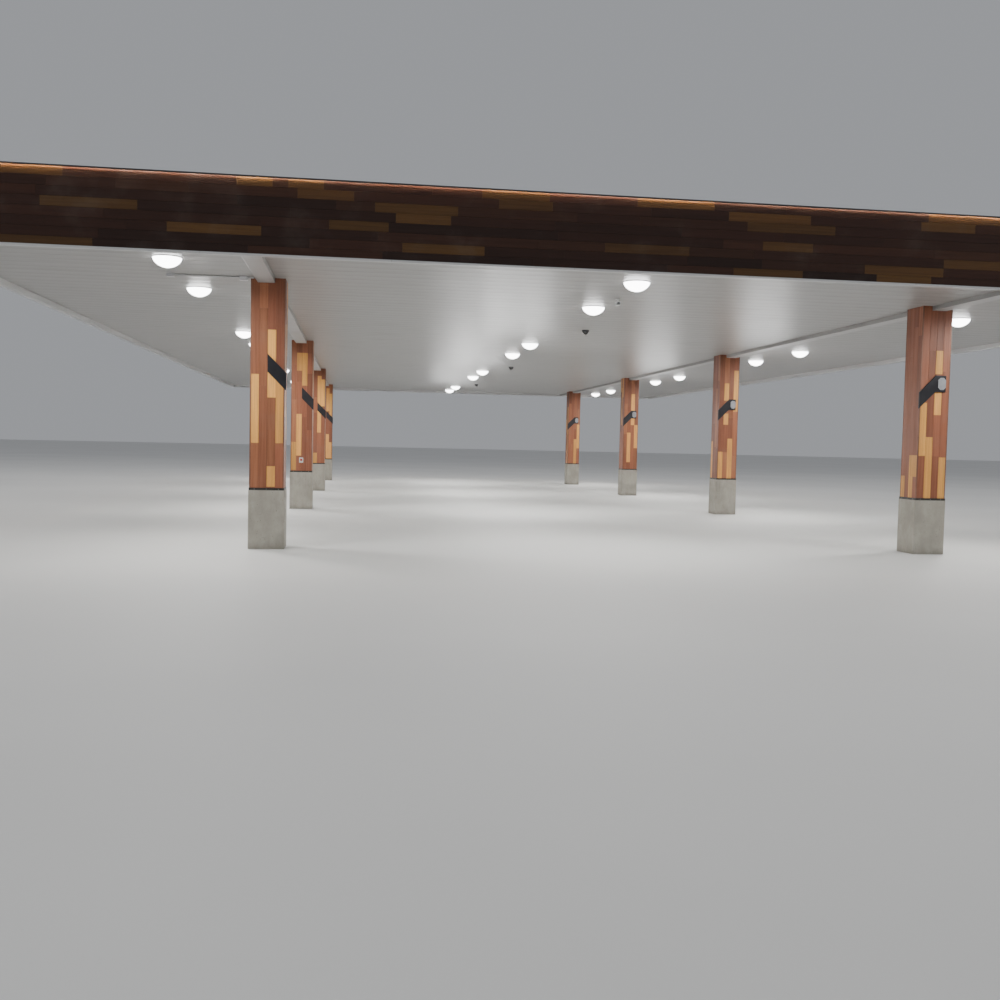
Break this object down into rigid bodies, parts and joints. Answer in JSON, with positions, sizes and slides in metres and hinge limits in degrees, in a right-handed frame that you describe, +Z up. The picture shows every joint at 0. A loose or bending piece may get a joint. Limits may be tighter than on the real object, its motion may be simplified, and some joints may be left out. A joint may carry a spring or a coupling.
{
  "type": "filling station canopy",
  "caption": "Flat rectangular fuel forecourt canopy on two rows of plank-clad columns with concrete piers, deep plank fascia, white ribbed soffit and round drop-lens lights.",
  "frame": {"origin": "on the floor, under the middle of the roof", "axes": "+Z up, +Y along the rows of columns away from the side that the picture shows, +X across them to the right"},
  "size_m": [21.672, 38.472, 5.583],
  "materials": {
    "concrete": "cast grey concrete with air holes",
    "column_planks": "satin mahogany and tan planks, upright",
    "fascia_planks": "satin red-brown, mauve-brown and tan planks, level",
    "deck_sheet": "semi-gloss white coil-coated steel",
    "white_sheet": "semi-gloss white painted steel",
    "dark_trim": "satin dark bronze painted aluminium",
    "white_trim": "semi-gloss white painted aluminium",
    "frame_steel": "matt grey primer",
    "galvanised_steel": "galvanised, spangled",
    "light_housing": "powder-coated white",
    "light_lens": "frosted white, glowing",
    "cove_strip": "warm white glowing strip",
    "camera_dome": "dark tinted, glossy",
    "camera_base": "white, moulded",
    "conduit": "painted white",
    "marker_lens": "grey, frosted",
    "stop_switch": "red, glossy, no lettering"
  },
  "bodies": {
    "root": {"pier_l1": "concrete", "cladding_l1": "column_planks", "pier_l2": "concrete", "cladding_l2": "column_planks", "pier_l3": "concrete", "cladding_l3": "column_planks", "pier_l4": "concrete", "cladding_l4": "column_planks", "pier_r1": "concrete", "cladding_r1": "column_planks", "pier_r2": "concrete", "cladding_r2": "column_planks", "pier_r3": "concrete", "cladding_r3": "column_planks", "pier_r4": "concrete", "cladding_r4": "column_planks", "fascia_front": "fascia_planks", "fascia_right": "fascia_planks", "fascia_back": "fascia_planks", "fascia_left": "fascia_planks", "gutter_left": "white_sheet", "gutter_right": "white_sheet", "deck_left": "deck_sheet", "deck_centre": "deck_sheet", "deck_right": "deck_sheet", "lights_left": "light_housing", "lights_centre": "light_housing", "lights_right": "light_housing", "light_lenses": "light_lens", "column_flashings": "dark_trim", "steel_posts": "frame_steel", "girders": "frame_steel", "purlins": "frame_steel", "edge_channels": "frame_steel", "fascia_frame": "galvanised_steel", "coping": "dark_trim", "sill_trim": "white_trim", "cove_light": "cove_strip", "camera_domes": "camera_dome", "camera_bases": "camera_base", "conduits": "conduit", "column_markers": "dark_trim", "marker_lenses": "marker_lens", "stop_switch": "stop_switch"}
  },
  "joints": []
}
